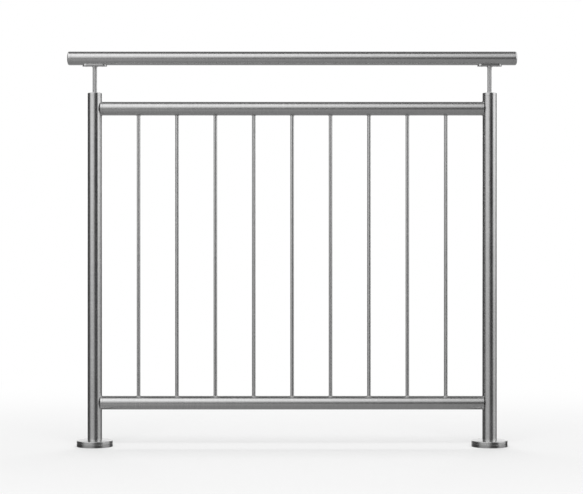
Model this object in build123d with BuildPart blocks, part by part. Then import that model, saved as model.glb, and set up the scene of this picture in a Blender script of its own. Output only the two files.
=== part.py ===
"""Straight bay of a stainless steel balustrade.

Round posts stand on floor flanges under round covers. A cap closes each post and holds a pin,
and a curved saddle plate on the pin carries the handrail. Cross rails meet the posts through
saddle-cut end fittings, and round infill rods, saddle-cut to the rails, stand between them.

Millimetres. The origin is the centre of the left flange's underside, +X runs along the bay
towards the right post and +Z is up.
"""

from build123d import *
from math import sqrt
import os

# Bay
bay_length = 1100.0  # between the post axes
total_height = 1100.0  # floor to the top of the handrail
handrail_overhang = 76.0  # post axis to the tip of the handrail

# Tubes and rods
post_diameter = 40.0
post_wall = 2.0
handrail_diameter = 38.1
handrail_wall = 1.5
rail_diameter = 38.1
rail_wall = 1.5
rod_diameter = 10.0
rod_count = 9
pin_diameter = 12.0

# Heights of the pieces on each post
bottom_rail_height = 121.5  # floor to the bottom rail's axis
top_rail_drop = 43.5  # top of the post cap down to the top rail's axis
pin_gap = 73.5  # top of the post cap up to the saddle plate

# Floor flange and its cover
flange_diameter = 100.0
flange_thickness = 9.0
flange_edge = 1.0  # rounding round the top of the plate
anchor_count = 4
anchor_circle = 74.0
anchor_hole = 9.0
anchor_sink = 17.0  # countersink across the top of the plate
anchor_sink_angle = 90.0
cover_rim_height = 7.5
cover_rise = 2.5  # how much higher the dome is at the post than at the rim
cover_wall = 1.5
cover_edge = 1.5  # rounding between the rim and the dome
cover_collar_edge = 0.4  # rounding of the dome's edge beside the post
cover_foot_edge = 0.5  # chamfer round the cover's lower edge
cover_clearance = 0.2  # all round the post

# Post cap
cap_height = 8.0
cap_edge = 1.5
cap_seam_edge = 0.4  # chamfer above the post tube
cap_spigot = 14.0
cap_clearance = 0.1  # inside the post tube
pin_seat = 16.0  # depth of the pin's blind bore
pin_clearance = 0.05

# Pin head, where the pin is welded to the saddle plate
pin_head_diameter = 15.5
pin_head_height = 3.0
pin_head_curve = 1.75

# Saddle plate
saddle_length = 68.0
saddle_width = 22.0
saddle_thickness = 4.0
saddle_screw_spacing = 44.0
saddle_screw_hole = 5.5
saddle_screw_sink = 10.0
saddle_screw_angle = 90.0
screw_pilot = 4.2  # pilot hole in the handrail

# Handrail end cap
end_cap_length = 12.0
end_cap_crown = 1.2  # how far the end face bulges
end_cap_rounding = 5.0
end_cap_seam_edge = 0.5  # chamfer beside the handrail tube
end_cap_spigot = 14.0
end_cap_wall = 2.5
end_cap_clearance = 0.1

# Rail end fitting, between the post and the straight-cut rail tube
fitting_reach = 3.0  # post surface to the rail tube's end
fitting_wing_trim = 3.0  # how far the wings reach round the post, from its surface
fitting_sleeve_wall = 1.5  # thin sleeve that the post looks into
fitting_web = 2.0  # thicker ring between the sleeve and the spigot
fitting_seam_edge = 0.4  # chamfer beside the rail tube
fitting_spigot = 18.0
fitting_wall = 3.0
fitting_clearance = 0.1

# Worked out from the sizes above
post_radius = post_diameter / 2
post_inner_radius = post_radius - post_wall
handrail_radius = handrail_diameter / 2
handrail_inner_radius = handrail_radius - handrail_wall
rail_radius = rail_diameter / 2
rail_inner_radius = rail_radius - rail_wall
rod_radius = rod_diameter / 2
pin_radius = pin_diameter / 2
flange_radius = flange_diameter / 2
handrail_z = total_height - handrail_radius
saddle_outer_radius = handrail_radius + saddle_thickness
saddle_under_z = handrail_z - saddle_outer_radius
cap_top_z = saddle_under_z - pin_gap
post_top_z = cap_top_z - cap_height
top_rail_z = cap_top_z - top_rail_drop
bottom_rail_z = bottom_rail_height
rail_start = post_radius + fitting_reach
rail_length = bay_length - 2 * rail_start
handrail_length = bay_length + 2 * (handrail_overhang - end_cap_length)
rod_gap = (bay_length - post_diameter - rod_count * rod_diameter) / (rod_count + 1)
rod_pitch = rod_gap + rod_diameter
first_rod_x = post_radius + rod_gap + rod_radius

posts = {"left": 0.0, "right": bay_length}
rails = {"top": top_rail_z, "bottom": bottom_rail_z}
inward = {"left": 1, "right": -1}


def upright_section(x, z):
    """Plane of a turned piece's half section: X is the radius, Y runs up from height z."""
    return Plane(origin=(x, 0, z), x_dir=(1, 0, 0), z_dir=(0, -1, 0))


def level_section(x, z, direction):
    """The same for a piece that lies along X: X runs along it, Y is the radius."""
    return Plane(origin=(x, 0, z), x_dir=(direction, 0, 0), z_dir=(0, -direction, 0))


def upright_axis(x):
    """Vertical axis through x."""
    return Axis((x, 0, 0), (0, 0, 1))


def level_axis(z):
    """Axis along the bay at height z."""
    return Axis((0, 0, z), (1, 0, 0))


def save(part, name):
    """Label one finished piece and write its STEP file."""
    part.label = name
    export_step(part, f"parts/{name}.step")


def base_flange(x):
    """Round floor plate with countersunk anchor holes."""
    with BuildPart() as flange:
        with BuildSketch(Plane(origin=(x, 0, 0))):
            Circle(flange_radius)
        extrude(amount=flange_thickness)
        top_face = flange.faces().sort_by(Axis.Z)[-1]
        fillet(top_face.edges(), flange_edge)
        with Locations(Plane(origin=(x, 0, flange_thickness))):
            with PolarLocations(anchor_circle / 2, anchor_count, start_angle=180 / anchor_count):
                CounterSinkHole(
                    radius=anchor_hole / 2,
                    counter_sink_radius=anchor_sink / 2,
                    depth=flange_thickness,
                    counter_sink_angle=anchor_sink_angle,
                )
    return flange.part


def flange_cover(x):
    """Pressed cover, domed up to the post, that stands on the flange's rim and hides the anchors."""
    hole_radius = post_radius + cover_clearance
    inner_radius = flange_radius - cover_wall
    drop = (flange_radius**2 - hole_radius**2 - cover_rise**2) / (2 * cover_rise)
    dome_radius = sqrt(flange_radius**2 + drop**2)
    inner_dome_radius = dome_radius - cover_wall

    def dome_z(arc_radius, radius):
        return cover_rim_height - drop + sqrt(arc_radius**2 - radius**2)

    collar = (hole_radius, dome_z(dome_radius, hole_radius))
    rim = (flange_radius, cover_rim_height)
    inner_rim = (inner_radius, dome_z(inner_dome_radius, inner_radius))
    inner_collar = (hole_radius, dome_z(inner_dome_radius, hole_radius))
    with BuildPart() as cover:
        with BuildSketch(upright_section(x, flange_thickness)) as profile:
            with BuildLine():
                RadiusArc(collar, rim, dome_radius)
                Polyline(
                    rim,
                    (flange_radius, cover_foot_edge),
                    (flange_radius - cover_foot_edge, 0),
                    (inner_radius, 0),
                    inner_rim,
                )
                RadiusArc(inner_rim, inner_collar, -inner_dome_radius)
                Line(inner_collar, collar)
            make_face()
            fillet(profile.vertices().sort_by_distance((*rim, 0))[0], cover_edge)
            fillet(profile.vertices().sort_by_distance((*collar, 0))[0], cover_collar_edge)
        revolve(axis=upright_axis(x))
    return cover.part


def post(x):
    """Post tube from the flange plate to the cap."""
    with BuildPart() as tube:
        with BuildSketch(Plane(origin=(x, 0, flange_thickness))):
            Circle(post_radius)
            Circle(post_inner_radius, mode=Mode.SUBTRACT)
        extrude(amount=post_top_z - flange_thickness)
    return tube.part


def post_cap(x):
    """Turned cap with a spigot in the post tube and a blind bore for the pin."""
    spigot_radius = post_inner_radius - cap_clearance
    with BuildPart() as cap:
        with BuildSketch(upright_section(x, post_top_z)):
            with BuildLine():
                Polyline(
                    (0, cap_height),
                    (post_radius - cap_edge, cap_height),
                )
                RadiusArc(
                    (post_radius - cap_edge, cap_height),
                    (post_radius, cap_height - cap_edge),
                    cap_edge,
                )
                Polyline(
                    (post_radius, cap_height - cap_edge),
                    (post_radius, cap_seam_edge),
                    (post_radius - cap_seam_edge, 0),
                    (spigot_radius, 0),
                    (spigot_radius, -cap_spigot),
                    (0, -cap_spigot),
                    (0, cap_height),
                )
            make_face()
        revolve(axis=upright_axis(x))
        with Locations(Plane(origin=(x, 0, cap_top_z))):
            Hole(pin_radius + pin_clearance, depth=pin_seat)
    return cap.part


def handrail_pin(x):
    """Pin from the cap's bore to the saddle plate, with a flared head cut to the plate's curve."""
    foot_z = cap_top_z - pin_seat
    head_radius = pin_head_diameter / 2
    head_z = saddle_under_z - foot_z - pin_head_height
    crown_z = handrail_z - foot_z
    with BuildPart() as pin:
        with BuildSketch(upright_section(x, foot_z)):
            with BuildLine():
                Polyline(
                    (0, 0),
                    (pin_radius, 0),
                    (pin_radius, head_z),
                )
                RadiusArc(
                    (pin_radius, head_z),
                    (head_radius, head_z + pin_head_curve),
                    pin_head_curve,
                )
                Polyline(
                    (head_radius, head_z + pin_head_curve),
                    (head_radius, crown_z),
                    (0, crown_z),
                    (0, 0),
                )
            make_face()
        revolve(axis=upright_axis(x))
        with BuildSketch(Plane.YZ.offset(x)):
            with Locations((0, handrail_z)):
                Circle(saddle_outer_radius)
        extrude(amount=pin_head_diameter, both=True, mode=Mode.SUBTRACT)
    return pin.part


def saddle_plate(x):
    """Curved plate with round ends under the handrail, countersunk from below."""
    with BuildPart() as plate:
        with BuildSketch(Plane(origin=(x, 0, saddle_under_z))):
            SlotOverall(saddle_length, saddle_width)
        extrude(amount=saddle_outer_radius)
        with BuildSketch(Plane.YZ.offset(x)):
            with Locations((0, handrail_z)):
                Circle(saddle_outer_radius)
                Circle(handrail_radius, mode=Mode.SUBTRACT)
        extrude(amount=saddle_length, both=True, mode=Mode.INTERSECT)
        underside = Plane(origin=(x, 0, saddle_under_z), x_dir=(1, 0, 0), z_dir=(0, 0, -1))
        with Locations(underside):
            with GridLocations(saddle_screw_spacing, 0, 2, 1):
                CounterSinkHole(
                    radius=saddle_screw_hole / 2,
                    counter_sink_radius=saddle_screw_sink / 2,
                    depth=saddle_outer_radius,
                    counter_sink_angle=saddle_screw_angle,
                )
    return plate.part


def handrail():
    """Handrail tube with pilot holes for the saddle plates' screws."""
    with BuildPart() as tube:
        with BuildSketch(Plane.YZ.offset(end_cap_length - handrail_overhang)):
            with Locations((0, handrail_z)):
                Circle(handrail_radius)
                Circle(handrail_inner_radius, mode=Mode.SUBTRACT)
        extrude(amount=handrail_length)
        for x in posts.values():
            with BuildSketch(Plane(origin=(x, 0, handrail_z))):
                with GridLocations(saddle_screw_spacing, 0, 2, 1):
                    Circle(screw_pilot / 2)
            extrude(amount=-handrail_diameter, mode=Mode.SUBTRACT)
    return tube.part


def handrail_end_cap(side):
    """Domed cap flush with the handrail, with a hollow spigot inside it."""
    outward = -inward[side]
    seat_x = posts[side] + outward * (handrail_overhang - end_cap_length)
    spigot_radius = handrail_inner_radius - end_cap_clearance
    bore_radius = spigot_radius - end_cap_wall
    rim_x = end_cap_length - end_cap_crown
    dome_radius = (handrail_radius**2 + end_cap_crown**2) / (2 * end_cap_crown)
    with BuildPart() as cap:
        with BuildSketch(level_section(seat_x, handrail_z, outward)) as profile:
            with BuildLine():
                RadiusArc((end_cap_length, 0), (rim_x, handrail_radius), -dome_radius)
                Polyline(
                    (rim_x, handrail_radius),
                    (end_cap_seam_edge, handrail_radius),
                    (0, handrail_radius - end_cap_seam_edge),
                    (0, spigot_radius),
                    (-end_cap_spigot, spigot_radius),
                    (-end_cap_spigot, bore_radius),
                    (rim_x - end_cap_wall, bore_radius),
                    (rim_x - end_cap_wall, 0),
                    (end_cap_length, 0),
                )
            make_face()
            rim = profile.vertices().sort_by_distance((rim_x, handrail_radius, 0))[0]
            fillet(rim, end_cap_rounding)
        revolve(axis=level_axis(handrail_z))
    return cap.part


def cross_rail(z):
    """Straight-cut rail tube between its two end fittings."""
    with BuildPart() as tube:
        with BuildSketch(Plane.YZ.offset(rail_start)):
            with Locations((0, z)):
                Circle(rail_radius)
                Circle(rail_inner_radius, mode=Mode.SUBTRACT)
        extrude(amount=rail_length)
    return tube.part


def rail_end_fitting(side, z):
    """Thin sleeve saddle-cut to the post, its wings trimmed flat, with a spigot in the rail."""
    x = posts[side]
    sleeve_radius = rail_radius - fitting_sleeve_wall
    spigot_radius = rail_inner_radius - fitting_clearance
    bore_radius = spigot_radius - fitting_wall
    wing_start = post_radius - fitting_wing_trim
    web_start = rail_start - fitting_web
    spigot_end = rail_start + fitting_spigot
    with BuildPart() as fitting:
        with BuildSketch(level_section(x, z, inward[side])):
            with BuildLine():
                Polyline(
                    (wing_start, sleeve_radius),
                    (wing_start, rail_radius),
                    (rail_start - fitting_seam_edge, rail_radius),
                    (rail_start, rail_radius - fitting_seam_edge),
                    (rail_start, spigot_radius),
                    (spigot_end, spigot_radius),
                    (spigot_end, bore_radius),
                    (web_start, bore_radius),
                    (web_start, sleeve_radius),
                    close=True,
                )
            make_face()
        revolve(axis=level_axis(z))
        with BuildSketch(Plane(origin=(x, 0, z))):
            Circle(post_radius)
        extrude(amount=rail_diameter, both=True, mode=Mode.SUBTRACT)
    return fitting.part


def infill_rod(x):
    """Upright rod, each end saddle-cut to its rail."""
    with BuildPart() as rod:
        with BuildSketch(Plane(origin=(x, 0, bottom_rail_z))):
            Circle(rod_radius)
        extrude(amount=top_rail_z - bottom_rail_z)
        with BuildSketch(Plane.YZ.offset(x)):
            with Locations((0, bottom_rail_z), (0, top_rail_z)):
                Circle(rail_radius)
        extrude(amount=rod_diameter, both=True, mode=Mode.SUBTRACT)
    return rod.part


os.makedirs("parts", exist_ok=True)

for side, x in posts.items():
    save(base_flange(x), f"base_flange_{side}")
    save(flange_cover(x), f"flange_cover_{side}")
    save(post(x), f"post_{side}")
    save(post_cap(x), f"post_cap_{side}")
    save(handrail_pin(x), f"handrail_pin_{side}")
    save(saddle_plate(x), f"saddle_plate_{side}")
    save(handrail_end_cap(side), f"handrail_end_cap_{side}")
    for level, z in rails.items():
        save(rail_end_fitting(side, z), f"{level}_rail_end_fitting_{side}")

save(handrail(), "handrail")
for level, z in rails.items():
    save(cross_rail(z), f"{level}_rail")
for number in range(rod_count):
    save(infill_rod(first_rod_x + number * rod_pitch), f"infill_rod_{number + 1}")
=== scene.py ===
"""Looks of the stainless steel balustrade bay: satin steel, weld beads, screws, studio and camera.

Metres, in the frame of the bay: the origin is the centre of the left flange's underside,
+X runs along the bay and +Z is up. Azimuths are seen from the bay: 0 is towards the camera and
positive is to the camera's right. Elevations are above the horizon.
"""

import math

import bpy
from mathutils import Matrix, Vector


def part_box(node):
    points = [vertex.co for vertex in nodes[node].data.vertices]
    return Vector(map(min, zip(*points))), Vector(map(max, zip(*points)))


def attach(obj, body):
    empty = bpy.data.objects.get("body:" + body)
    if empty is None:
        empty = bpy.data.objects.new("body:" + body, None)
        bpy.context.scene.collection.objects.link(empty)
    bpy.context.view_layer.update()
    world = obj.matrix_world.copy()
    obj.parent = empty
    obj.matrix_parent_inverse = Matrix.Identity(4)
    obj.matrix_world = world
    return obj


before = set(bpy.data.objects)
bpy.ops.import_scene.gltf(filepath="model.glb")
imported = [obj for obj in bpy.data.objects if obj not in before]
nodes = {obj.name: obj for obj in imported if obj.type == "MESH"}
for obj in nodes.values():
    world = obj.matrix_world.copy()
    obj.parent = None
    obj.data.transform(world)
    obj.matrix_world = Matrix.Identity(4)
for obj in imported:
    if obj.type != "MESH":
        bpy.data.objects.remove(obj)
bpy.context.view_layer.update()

# Camera
photo_width = 583  # pixels
pixels_per_metre = 358.8  # at the bay's plane
camera_distance = 4.75
camera_height = 0.5554
camera_x = 0.5482
sensor_width = 36.0  # millimetres

# Steel
steel_tone = 0.66
painted_shade_foot_tone = 0.50  # painted shade: the floor plates are made darker than their covers to stand in for the shade under the covers and by the floor
tube_roughness = 0.25
fine_roughness = 0.24  # saddle plates and turned pieces
pin_roughness = 0.4
highlight_spread = 0.5  # how far the grain spreads highlights across itself
quarter_turn = 0.25  # turns the spread from round the tube to along it

# Grain
grain_pitch = 0.0005
grain_across = 1 / grain_pitch  # frequency across the grain lines, per metre
grain_along = 40
pin_grain_along = 400
grain_low = 0.35  # noise level of the darkest grain lines
grain_high = 0.65
grain_tone = 0.07  # share by which the grain lightens and darkens the steel
grain_roughness = 0.004
grain_bump = 0.1
ring_bump = 0.06
grain_depth = 0.0001

# Soft clouds of wear
tube_cloud_scale = 9.0
turned_cloud_scale = 60.0
cloud_low = 0.3
cloud_high = 0.7
cloud_roughness = 0.02

# Welds
bead_radius = 0.0012
bead_ripple_pitch = 0.0016
bead_ripple_depth = 0.07  # share of the bead's radius
bead_sides = 8
bead_end = 0.35  # share of the bead's radius at an open end
ripple_steps = 5
wing_trim = 0.003  # how far the end fittings' wings reach round the post, from its surface
weld_colour = (0.60, 0.60, 0.60, 1)
weld_tint = (0.52, 0.50, 0.47, 1)
weld_patch_scale = 260.0
weld_smooth = 0.24
weld_rough = 0.36

# Saddle plate screws
screw_spacing = 0.044
screw_head_radius = 0.0048
screw_head_depth = 0.0024
screw_head_edge = 0.0003
screw_shank_radius = 0.00235
screw_length = 0.0085
screw_recess = 0.0002  # head below the plate's face
socket_flats = 0.003
socket_depth = 0.002
screw_sides = 36

# Floor
floor_size = 14.0
floor_colour = (0.85, 0.85, 0.85, 1)
fade_start = 0.6  # distance from the bay's middle
fade_end = 2.4
fade_least = 0.26  # share of plain white near the bay

# Light
white = (1, 1, 1, 1)
soft_light = 0.5
tent_radius = 20.0
card_step = 6  # degrees between a card's rows and columns
lamp_power = 99  # watts
lamp_width = 3.6


def box_centre(node):
    """Middle of a node's box."""
    low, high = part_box(node)
    return (low + high) / 2


def box_size(node):
    """Size of a node's box."""
    low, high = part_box(node)
    return high - low


post_x = {side: box_centre(f"post_{side}").x for side in ("left", "right")}
rail_z = {level: box_centre(f"{level}_rail").z for level in ("top", "bottom")}
rod_names = sorted(name for name in nodes if name.startswith("infill_rod_"))
rod_x = [box_centre(name).x for name in rod_names]
post_radius = box_size("post_left").x / 2
rail_radius = box_size("top_rail").z / 2
rod_radius = box_size("infill_rod_1").x / 2
handrail_z = box_centre("handrail").z
middle_x = (post_x["left"] + post_x["right"]) / 2


def empty_tree(owner):
    """Empty the node tree of a material or world and return it."""
    owner.use_nodes = True
    owner.node_tree.nodes.clear()
    return owner.node_tree


def put(tree, kind, **values):
    """Make one shader node and set its inputs and properties by name."""
    node = tree.nodes.new(kind)
    for name, value in values.items():
        if name in node.inputs:
            node.inputs[name].default_value = value
        else:
            setattr(node, name, value)
    return node


def math_node(tree, operation, first, second=None):
    """One Math node on one or two values, each a socket or a number."""
    node = put(tree, "ShaderNodeMath", operation=operation)
    for i, value in enumerate((first, second)):
        if value is None:
            continue
        if isinstance(value, (int, float)):
            node.inputs[i].default_value = value
        else:
            tree.links.new(value, node.inputs[i])
    return node.outputs[0]


def map_range(tree, value, from_low, from_high, to_low=0.0, to_high=1.0):
    """Value mapped smoothly from one range to another."""
    node = put(tree, "ShaderNodeMapRange", interpolation_type="SMOOTHSTEP")
    node.inputs["From Min"].default_value = from_low
    node.inputs["From Max"].default_value = from_high
    node.inputs["To Min"].default_value = to_low
    node.inputs["To Max"].default_value = to_high
    tree.links.new(value, node.inputs["Value"])
    return node.outputs["Result"]


def noise(tree, place, scale, detail, roughness):
    """Noise level at a place."""
    node = put(tree, "ShaderNodeTexNoise", Scale=scale, Detail=detail, Roughness=roughness)
    tree.links.new(place, node.inputs["Vector"])
    return node.outputs["Fac"]


def mix_shaders(tree, share, first, second):
    """Blend of two shaders. share is how much of the second shows."""
    node = put(tree, "ShaderNodeMixShader")
    tree.links.new(share, node.inputs["Fac"])
    tree.links.new(first, node.inputs[1])
    tree.links.new(second, node.inputs[2])
    return node.outputs["Shader"]


def set_surface(tree, shader, kind="ShaderNodeOutputMaterial"):
    """Make a shader the surface of its material or world."""
    out = put(tree, kind)
    tree.links.new(shader, out.inputs["Surface"])


def grained_colour(tree, grain, tone):
    """Steel's tone, lightened and darkened line by line by its grain."""
    mix = put(tree, "ShaderNodeMix", data_type="RGBA")
    for name, level in (("A", tone * (1 - grain_tone)), ("B", tone * (1 + grain_tone))):
        mix.inputs[name].default_value = (level, level, level, 1)
    tree.links.new(map_range(tree, grain, grain_low, grain_high), mix.inputs["Factor"])
    return mix.outputs["Result"]


def grained_roughness(tree, grain, cloud, roughness):
    """Roughness that drifts with the clouds of wear and steps from grain line to grain line."""
    low = roughness - cloud_roughness
    high = roughness + cloud_roughness
    worn = map_range(tree, cloud, cloud_low, cloud_high, low, high)
    shift = map_range(tree, grain, grain_low, grain_high, grain_roughness, -grain_roughness)
    return math_node(tree, "ADD", worn, shift)


def satin(tree, grain, cloud, tone, roughness, bump, spread_axis):
    """Satin steel surface from the noise levels of its grain and its clouds of wear.

    spread_axis is the axis that the fine circumferential grain spreads highlights along.
    """
    height = put(tree, "ShaderNodeBump", Strength=bump, Distance=grain_depth)
    tree.links.new(grain, height.inputs["Height"])
    shader = put(tree, "ShaderNodeBsdfPrincipled", Metallic=1.0)
    if spread_axis:
        shader.inputs["Anisotropic"].default_value = highlight_spread
        shader.inputs["Anisotropic Rotation"].default_value = quarter_turn
        tangent = put(tree, "ShaderNodeTangent", direction_type="RADIAL", axis=spread_axis)
        tree.links.new(tangent.outputs["Tangent"], shader.inputs["Tangent"])
    tree.links.new(grained_colour(tree, grain, tone), shader.inputs["Base Color"])
    tree.links.new(grained_roughness(tree, grain, cloud, roughness), shader.inputs["Roughness"])
    tree.links.new(height.outputs["Normal"], shader.inputs["Normal"])
    set_surface(tree, shader.outputs["BSDF"])


def steel(name, roughness, grain_scale, spread_axis=""):
    """Satin steel with straight grain. grain_scale is the grain's frequency along X, Y and Z."""
    material = bpy.data.materials.new(name)
    tree = empty_tree(material)
    place = put(tree, "ShaderNodeTexCoord").outputs["Object"]
    stretch = put(tree, "ShaderNodeMapping", Scale=grain_scale)
    tree.links.new(place, stretch.inputs["Vector"])
    grain = noise(tree, stretch.outputs["Vector"], scale=1.0, detail=3.0, roughness=0.6)
    cloud = noise(tree, place, scale=tube_cloud_scale, detail=3.0, roughness=0.55)
    satin(tree, grain, cloud, steel_tone, roughness, grain_bump, spread_axis)
    return material


def turned_steel(name, tone, axis):
    """Steel turned on a lathe, with fine rings round the nearer post's or the handrail's axis."""
    material = bpy.data.materials.new(name)
    tree = empty_tree(material)
    place = put(tree, "ShaderNodeTexCoord").outputs["Object"]
    split = put(tree, "ShaderNodeSeparateXYZ")
    tree.links.new(place, split.inputs["Vector"])
    if axis == "Z":
        from_middle = math_node(tree, "SUBTRACT", split.outputs["X"], middle_x)
        from_middle = math_node(tree, "ABSOLUTE", from_middle)
        across = math_node(tree, "SUBTRACT", from_middle, post_x["right"] - middle_x)
    else:
        across = math_node(tree, "SUBTRACT", split.outputs["Z"], handrail_z)
    across_square = math_node(tree, "MULTIPLY", across, across)
    depth_square = math_node(tree, "MULTIPLY", split.outputs["Y"], split.outputs["Y"])
    radius = math_node(tree, "SQRT", math_node(tree, "ADD", across_square, depth_square))
    section = put(tree, "ShaderNodeCombineXYZ")
    tree.links.new(radius, section.inputs["X"])
    tree.links.new(split.outputs[axis], section.inputs["Y"])
    rings = noise(tree, section.outputs["Vector"], scale=grain_across, detail=2.0, roughness=0.6)
    cloud = noise(tree, place, scale=turned_cloud_scale, detail=3.0, roughness=0.55)
    satin(tree, rings, cloud, tone, fine_roughness, ring_bump, axis)
    return material


def weld_steel(name):
    """Bright weld metal with a faint straw to grey heat tint in patches."""
    material = bpy.data.materials.new(name)
    tree = empty_tree(material)
    place = put(tree, "ShaderNodeTexCoord").outputs["Object"]
    patches = noise(tree, place, scale=weld_patch_scale, detail=2.0, roughness=0.5)
    tint = put(tree, "ShaderNodeMix", data_type="RGBA")
    tint.inputs["A"].default_value = weld_colour
    tint.inputs["B"].default_value = weld_tint
    tree.links.new(map_range(tree, patches, 0.45, 0.7), tint.inputs["Factor"])
    shader = put(tree, "ShaderNodeBsdfPrincipled", Metallic=1.0)
    worn = map_range(tree, patches, 0.3, 0.7, weld_smooth, weld_rough)
    tree.links.new(tint.outputs["Result"], shader.inputs["Base Color"])
    tree.links.new(worn, shader.inputs["Roughness"])
    set_surface(tree, shader.outputs["BSDF"])
    return material


def dress(starts, material):
    """Give every node whose name starts so one material."""
    for name, piece in nodes.items():
        if name.startswith(starts):
            piece.data.materials.clear()
            piece.data.materials.append(material)


def new_mesh(name, points, faces, material):
    """New object made of points and faces."""
    mesh = bpy.data.meshes.new(name)
    mesh.from_pydata(points, [], faces)
    mesh.update()
    made = bpy.data.objects.new(name, mesh)
    bpy.context.scene.collection.objects.link(made)
    made.data.materials.append(material)
    return made


def close_rings(name, rings, material, closed=False):
    """Skin over rings of points. closed joins the last ring to the first, else both ends are capped."""
    sides = len(rings[0])
    points = [point for ring in rings for point in ring]
    faces = []
    spans = len(rings) if closed else len(rings) - 1
    for i in range(spans):
        here = i * sides
        there = (i + 1) % len(rings) * sides
        for k in range(sides):
            after = (k + 1) % sides
            faces.append((here + k, here + after, there + after, there + k))
    if not closed:
        faces.append(tuple(reversed(range(sides))))
        faces.append(tuple(range(len(points) - sides, len(points))))
    made = new_mesh(name, points, faces, material)
    made.data.shade_smooth()
    return made


def bead(name, path, closed, material):
    """Weld bead along a path of points and outward directions, rippled as its runs froze."""
    rings = []
    count = len(path)
    for i, (point, outward) in enumerate(path):
        after = path[(i + 1) % count][0] if closed or i + 1 < count else point
        before = path[i - 1][0] if closed or i > 0 else point
        tangent = (after - before).normalized()
        side = (outward - tangent * outward.dot(tangent)).normalized()
        up = tangent.cross(side)
        radius = bead_radius * (1 + bead_ripple_depth * math.sin(2 * math.pi * i / ripple_steps))
        if not closed:
            radius *= min(1.0, bead_end + min(i, count - 1 - i) / (2 * ripple_steps))
        ring = []
        for k in range(bead_sides):
            turn = 2 * math.pi * k / bead_sides
            ring.append(point + side * (radius * math.cos(turn)) + up * (radius * math.sin(turn)))
        rings.append(ring)
    run = close_rings(name, rings, material, closed)
    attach(run, "root")


def rod_weld(number, level, material):
    """Bead round one rod's end, along the saddle where it meets the rail."""
    facing = -1 if level == "top" else 1
    ripples = round(2 * math.pi * rod_radius / bead_ripple_pitch)
    count = ripples * ripple_steps
    path = []
    for i in range(count):
        turn = 2 * math.pi * i / count
        outward = Vector((math.cos(turn), math.sin(turn), 0))
        y = rod_radius * outward.y
        z = rail_z[level] + facing * math.sqrt(rail_radius**2 - y**2)
        path.append((Vector((rod_x[number] + rod_radius * outward.x, y, z)), outward))
    bead(f"weld_{rod_names[number]}_{level}", path, True, material)


def fitting_weld(side, level, facing, material):
    """Bead over the top or under the bottom of an end fitting, between its wings."""
    inward = 1 if side == "left" else -1
    wing_width = math.sqrt(post_radius**2 - (post_radius - wing_trim) ** 2)
    half_turn = math.asin(wing_width / rail_radius)
    ripples = round(2 * half_turn * rail_radius / bead_ripple_pitch)
    count = ripples * ripple_steps + 1
    path = []
    for i in range(count):
        turn = half_turn * (2 * i / (count - 1) - 1)
        y = rail_radius * math.sin(turn)
        z = rail_z[level] + facing * rail_radius * math.cos(turn)
        x = post_x[side] + inward * math.sqrt(post_radius**2 - y**2)
        outward = Vector((0, math.sin(turn), facing * math.cos(turn)))
        path.append((Vector((x, y, z)), outward))
    place = "over" if facing > 0 else "under"
    bead(f"weld_{level}_rail_{side}_{place}", path, False, material)


def socket_screw(side, end, material):
    """Countersunk hexagon socket screw up through a saddle plate into the handrail."""
    low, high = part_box(f"saddle_plate_{side}")
    x = (low.x + high.x) / 2 + end * screw_spacing / 2
    face_z = low.z + screw_recess
    turns = [2 * math.pi * k / screw_sides for k in range(screw_sides)]

    def ring_point(turn, radius, height):
        return Vector((x + radius * math.cos(turn), radius * math.sin(turn), face_z + height))

    def round_ring(radius, height):
        return [ring_point(turn, radius, height) for turn in turns]

    def hexagon_ring(flats, height):
        ring = []
        for turn in turns:
            from_flat = (turn + math.pi / 6) % (math.pi / 3) - math.pi / 6
            ring.append(ring_point(turn, flats / 2 / math.cos(from_flat), height))
        return ring

    rings = [
        round_ring(screw_shank_radius, screw_length),
        round_ring(screw_shank_radius, screw_head_depth),
        round_ring(screw_head_radius, screw_head_edge),
        round_ring(screw_head_radius - screw_head_edge, 0),
        hexagon_ring(socket_flats + 2 * screw_head_edge, 0),
        hexagon_ring(socket_flats, screw_head_edge),
        hexagon_ring(socket_flats, socket_depth),
    ]
    place = "left" if end < 0 else "right"
    screw = close_rings(f"saddle_screw_{side}_{place}", rings, material)
    screw.data.shade_flat()
    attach(screw, "root")


def card_material(name, level, soft):
    """Glow with soft edges. soft is the width of the left, right, lower and upper edge, 0 to 1."""
    material = bpy.data.materials.new(name)
    material.cycles.emission_sampling = "NONE"
    tree = empty_tree(material)
    place = put(tree, "ShaderNodeUVMap", uv_map="card")
    split = put(tree, "ShaderNodeSeparateXYZ")
    tree.links.new(place.outputs["UV"], split.inputs["Vector"])
    cover = None
    for axis, near, far in (("X", soft[0], soft[1]), ("Y", soft[2], soft[3])):
        for edge, start, end in ((near, 0.0, near), (far, 1.0, 1.0 - far)):
            if edge == 0:
                continue
            ramp = map_range(tree, split.outputs[axis], start, end)
            cover = ramp if cover is None else math_node(tree, "MULTIPLY", cover, ramp)
    light = put(tree, "ShaderNodeEmission", Color=(level, level, level, 1), Strength=1.0)
    clear = put(tree, "ShaderNodeBsdfTransparent")
    shader = mix_shaders(tree, cover, clear.outputs["BSDF"], light.outputs["Emission"])
    set_surface(tree, shader)
    return material


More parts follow.
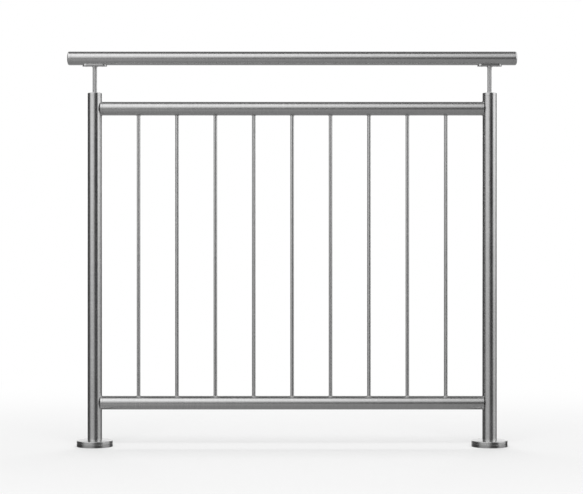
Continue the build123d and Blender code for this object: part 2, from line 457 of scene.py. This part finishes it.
def studio_card(name, azimuth, elevation, level, soft, near=0.0):
    """Card on the light tent that only reflections see.

    azimuth and elevation are ranges in degrees, soft its left, right, lower and upper edges in
    degrees, and near moves it in front of other cards.
    """
    wide = azimuth[1] - azimuth[0]
    high = elevation[1] - elevation[0]
    columns = max(2, int(wide / card_step))
    rows = max(2, int(high / card_step))
    radius = tent_radius - near
    points = []
    for j in range(rows + 1):
        el = math.radians(elevation[0] + high * j / rows)
        for i in range(columns + 1):
            az = math.radians(azimuth[0] + wide * i / columns)
            reach = radius * math.cos(el)
            points.append((reach * math.sin(az), -reach * math.cos(az), radius * math.sin(el)))
    faces = []
    for j in range(rows):
        for i in range(columns):
            a = j * (columns + 1) + i
            faces.append((a, a + 1, a + columns + 2, a + columns + 1))
    shares = (soft[0] / wide, soft[1] / wide, soft[2] / high, soft[3] / high)
    card = new_mesh(name, points, faces, card_material(name, level, shares))
    layer = card.data.uv_layers.new(name="card")
    for loop in card.data.loops:
        row, column = divmod(loop.vertex_index, columns + 1)
        layer.data[loop.index].uv = (column / columns, row / rows)
    card.location = (middle_x, 0, camera_height)
    card.visible_camera = False
    card.visible_diffuse = False
    card.visible_shadow = False
    card.visible_transmission = False
    card.visible_volume_scatter = False


def make_camera():
    """Level camera in front of the bay."""
    data = bpy.data.cameras.new("camera")
    data.sensor_width = sensor_width
    data.lens = pixels_per_metre * camera_distance * sensor_width / photo_width
    camera = bpy.data.objects.new("camera", data)
    camera.location = (camera_x, -camera_distance, camera_height)
    camera.rotation_euler = (math.radians(90), 0, 0)
    bpy.context.scene.collection.objects.link(camera)
    bpy.context.scene.camera = camera


def seen_directly(tree):
    """1 for rays of the camera, of reflections and through clear things, else 0."""
    path = put(tree, "ShaderNodeLightPath")
    seen = math_node(tree, "MAXIMUM", path.outputs["Is Camera Ray"], path.outputs["Is Glossy Ray"])
    return math_node(tree, "MAXIMUM", seen, path.outputs["Is Transmission Ray"])


def make_world():
    """White surroundings for the camera and reflections, softer light on the floor."""
    world = bpy.data.worlds.new("studio")
    bpy.context.scene.world = world
    tree = empty_tree(world)
    soft = put(tree, "ShaderNodeBackground", Color=white, Strength=soft_light)
    plain = put(tree, "ShaderNodeBackground", Color=white, Strength=1.0)
    seen = seen_directly(tree)
    shader = mix_shaders(tree, seen, soft.outputs["Background"], plain.outputs["Background"])
    set_surface(tree, shader, "ShaderNodeOutputWorld")


def make_floor():
    """Pale floor that keeps the shadow near the bay and fades to white further off."""
    material = bpy.data.materials.new("floor")
    tree = empty_tree(material)
    place = put(tree, "ShaderNodeTexCoord")
    centre = put(tree, "ShaderNodeMapping", Location=(-middle_x, 0, 0))
    tree.links.new(place.outputs["Object"], centre.inputs["Vector"])
    far = put(tree, "ShaderNodeVectorMath", operation="LENGTH")
    tree.links.new(centre.outputs["Vector"], far.inputs[0])
    fade = map_range(tree, far.outputs["Value"], fade_start, fade_end, fade_least, 1.0)
    share = math_node(tree, "MULTIPLY", fade, seen_directly(tree))
    matt = put(tree, "ShaderNodeBsdfDiffuse", Color=floor_colour, Roughness=0.0)
    plain = put(tree, "ShaderNodeEmission", Color=white, Strength=1.0)
    shader = mix_shaders(tree, share, matt.outputs["BSDF"], plain.outputs["Emission"])
    set_surface(tree, shader)
    reach = floor_size / 2
    corners = [(-reach, -reach, 0), (reach, -reach, 0), (reach, reach, 0), (-reach, reach, 0)]
    floor = new_mesh("floor", corners, [(0, 1, 2, 3)], material)
    floor.visible_glossy = False


def area_light(name, y, z, depth):
    """Soft lamp aimed at the foot of the bay's middle. It lights the floor and isn't seen in the steel."""
    data = bpy.data.lights.new(name, "AREA")
    data.shape = "RECTANGLE"
    data.size = lamp_width
    data.size_y = depth
    data.energy = lamp_power
    lamp = bpy.data.objects.new(name, data)
    place = Vector((middle_x, y, z))
    lamp.location = place
    aim = Vector((middle_x, 0, 0)) - place
    lamp.rotation_euler = aim.to_track_quat("-Z", "Y").to_euler()
    lamp.visible_glossy = False
    bpy.context.scene.collection.objects.link(lamp)


def light_studio():
    """Flags and panels of the light tent, and the two lamps."""
    studio_card("floor_card", (-180, 180), (-90, 2), 0.28, (0, 0, 0, 4))
    studio_card("floor_left_card", (-92, 12), (-60, 2), 0.40, (42, 26, 30, 8), near=1.1)
    studio_card("floor_right_card", (46, 125), (-40, 2), 0.46, (22, 14, 30, 4), near=0.4)
    studio_card("front_flag", (-26, 62), (-30, 62), 0.03, (34, 20, 28, 50), near=1.0)
    studio_card("left_back_flag", (-150, -58), (-50, 38), 0.06, (8, 30, 25, 16), near=1.0)
    studio_card("right_back_flag", (112, 158), (-50, 34), 0.06, (8, 12, 25, 16), near=1.0)
    studio_card("right_panel", (55, 110), (0, 44), 1.3, (12, 20, 4, 12), near=0.6)
    studio_card("right_top_card", (2, 52), (30, 90), 0.3, (16, 12, 16, 0), near=0.8)
    studio_card("ceiling_card", (-180, 180), (68, 90), 0.09, (0, 0, 6, 0), near=2.0)
    studio_card("front_glow", (-40, 20), (0, 50), 1.0, (20, 26, 34, 4), near=1.2)
    studio_card("back_card", (130, 230), (14, 90), 0.2, (8, 8, 10, 0), near=1.5)
    studio_card("back_glow", (156, 204), (-6, 34), 1.0, (14, 14, 10, 16), near=1.7)
    studio_card("floor_back_card", (116, 258), (-44, -10), 0.6, (14, 18, 20, 12), near=1.2)
    studio_card("low_softbox", (-80, 15), (25, 64), 1.26, (10, 22, 14, 12), near=3.0)
    studio_card("high_softbox", (-80, 27), (44, 80), 1.24, (10, 25, 14, 6), near=3.2)
    area_light("front_lamp", y=-3.4, z=3.0, depth=2.4)
    area_light("back_lamp", y=3.3, z=3.1, depth=2.8)


make_camera()
make_world()
make_floor()
light_studio()

level_tube = steel("satin_level_tube", tube_roughness, (grain_across, grain_along, grain_along), "X")
upright_tube = steel("satin_upright_tube", tube_roughness, (grain_along, grain_along, grain_across), "Z")
pin = steel("satin_pin", pin_roughness, (pin_grain_along, pin_grain_along, grain_across), "Z")
plate = steel("satin_plate", fine_roughness, (grain_along, grain_across, grain_across))
turned_upright = turned_steel("turned_upright", steel_tone, "Z")
turned_level = turned_steel("turned_level", steel_tone, "X")
# The floor plates' steel is darkened with painted shade, for the shade under the covers and by the floor
foot = turned_steel("turned_foot_painted_shade", painted_shade_foot_tone, "Z")
weld = weld_steel("weld")

# Pins, post caps and end caps come after the tubes whose names they share
dress(("handrail", "top_rail", "bottom_rail"), level_tube)
dress(("post_", "infill_rod_"), upright_tube)
dress(("handrail_pin_",), pin)
dress(("saddle_plate_",), plate)
dress(("post_cap_", "flange_cover_"), turned_upright)
# Floor plates get the steel darkened with painted shade
dress(("base_flange_",), foot)
dress(("handrail_end_cap_",), turned_level)

for level in rail_z:
    for number in range(len(rod_names)):
        rod_weld(number, level, weld)
    for side in post_x:
        for facing in (1, -1):
            fitting_weld(side, level, facing, weld)
for side in post_x:
    for end in (-1, 1):
        socket_screw(side, end, pin)

bpy.context.scene.view_settings.view_transform = "Standard"
